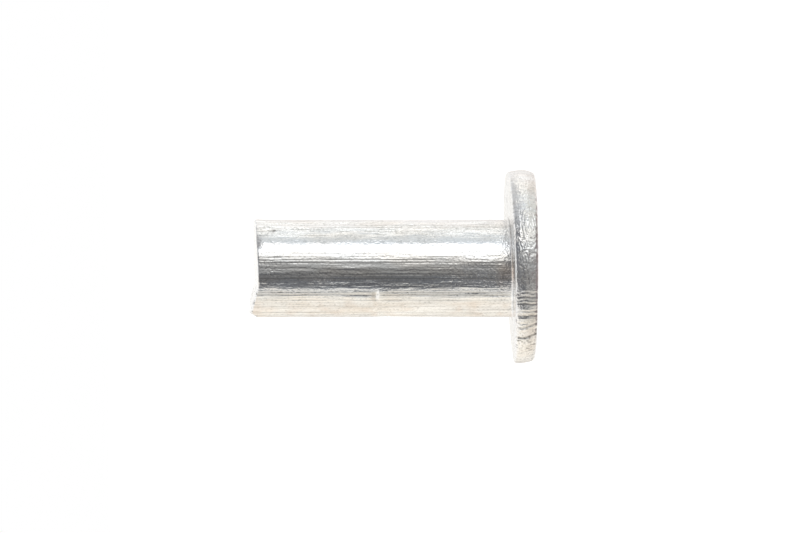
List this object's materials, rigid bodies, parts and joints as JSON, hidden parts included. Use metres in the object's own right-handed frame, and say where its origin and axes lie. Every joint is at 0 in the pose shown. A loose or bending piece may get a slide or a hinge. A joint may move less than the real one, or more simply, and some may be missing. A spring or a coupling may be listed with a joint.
{
  "type": "solid flat-head brake lining rivet",
  "caption": "Solid aluminium rivet with a thin flat head and a straight shank, cropped at its end, for fastening friction lining to a brake shoe.",
  "frame": {"origin": "where the shank's axis meets the outer face of the head, which the rivet stands on", "axes": "+Z along the shank from the head towards the cut end; +X towards the thick side of the head; +Y to the left of +X seen from the cut end"},
  "size_m": [0.008, 0.008, 0.0117],
  "materials": {
    "bare_aluminium": "bare drawn wire with lengthwise drawing lines, smeared bright at the cropped end"
  },
  "bodies": {
    "root": {"rivet": "bare_aluminium"}
  },
  "joints": []
}
